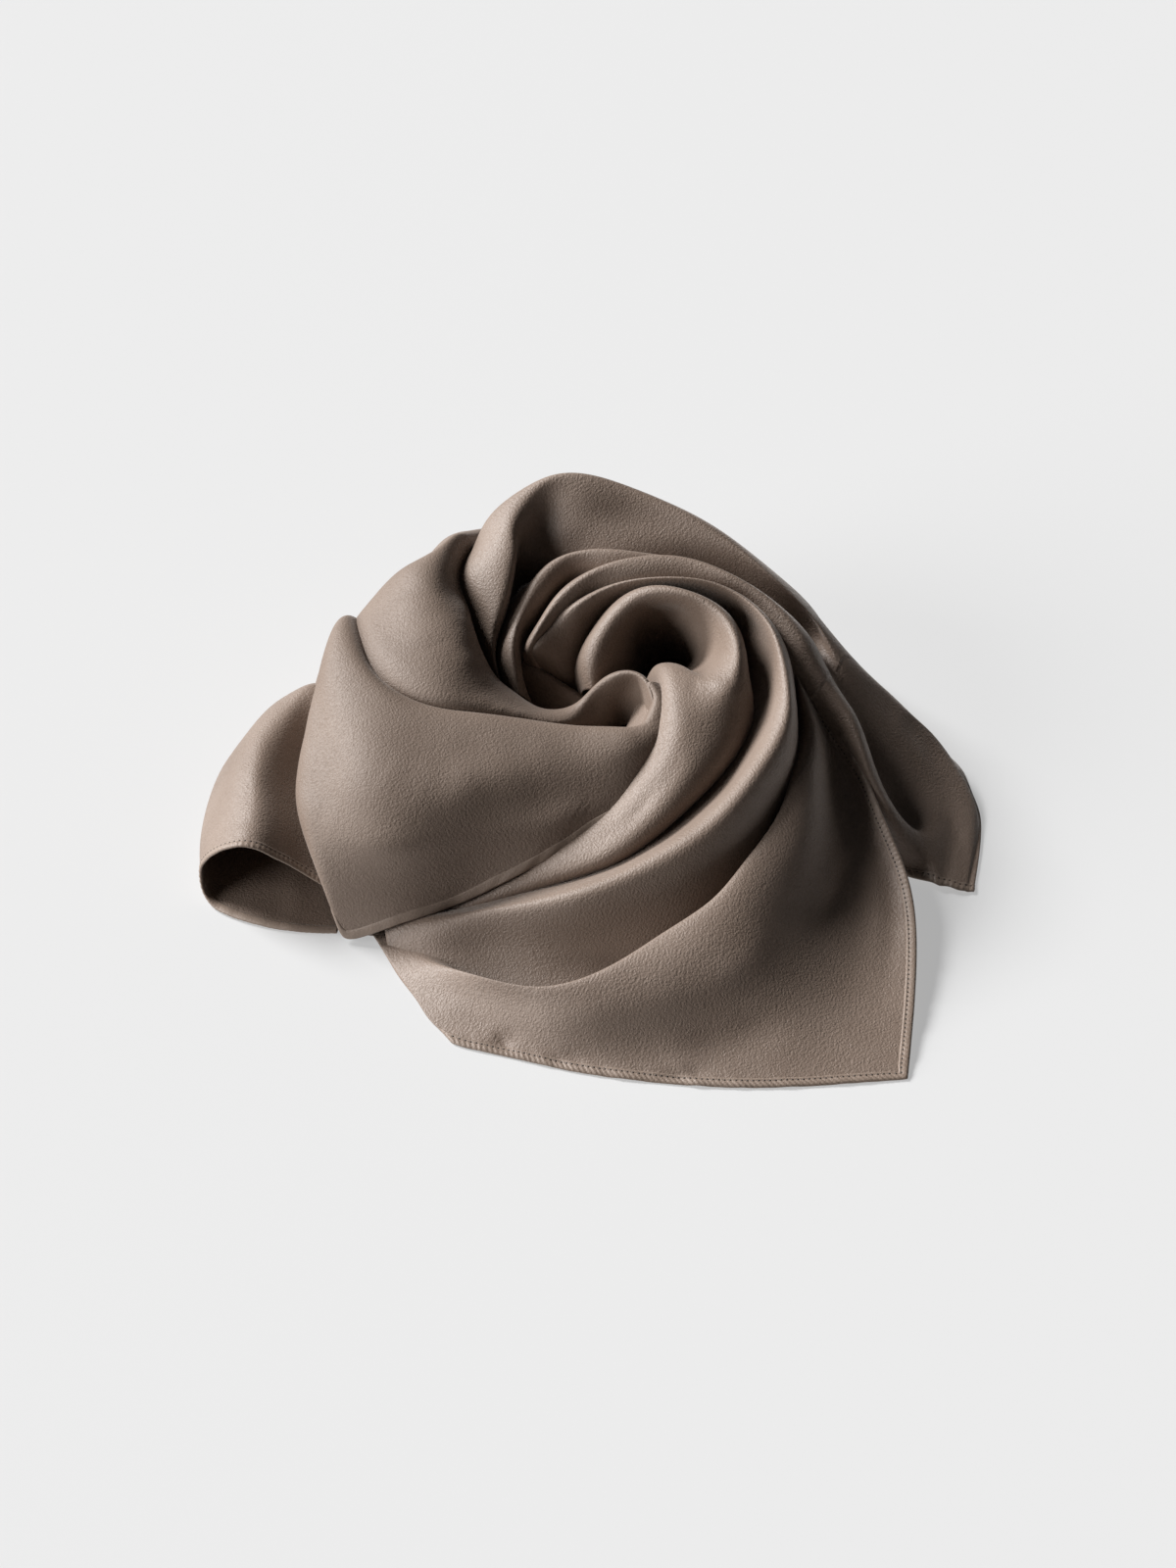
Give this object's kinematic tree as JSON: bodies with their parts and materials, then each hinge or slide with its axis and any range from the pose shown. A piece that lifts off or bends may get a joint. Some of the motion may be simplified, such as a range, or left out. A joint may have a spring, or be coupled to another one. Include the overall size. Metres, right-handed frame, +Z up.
{
  "type": "square silk scarf, twisted into a heap",
  "caption": "Square satin scarf with a narrow stitched hem, twisted into a swirl and lying in a loose heap, one corner spread to the front.",
  "frame": {"origin": "on the table under the eye of the swirl, in the flat underside of the heap", "axes": "+Z up from the table, -Y towards the side whose corner is spread to the front, +X to the right of a person who stands on that side"},
  "size_m": [0.3605, 0.337, 0.1033],
  "materials": {
    "cloth": "satin weave with a soft sheen, taupe",
    "buried_cloth": "the same cloth in the shade of the folds"
  },
  "bodies": {
    "root": {"front_corner": "cloth", "left_front_panel": "cloth", "upper_left_panel": "cloth", "hood": "cloth", "right_corner": "cloth", "outer_ridge": "cloth", "middle_ridge": "cloth", "funnel_ridge": "cloth", "back_ridge": "cloth", "pocket_fold": "cloth", "left_loop": "cloth", "core": "buried_cloth"}
  },
  "joints": []
}
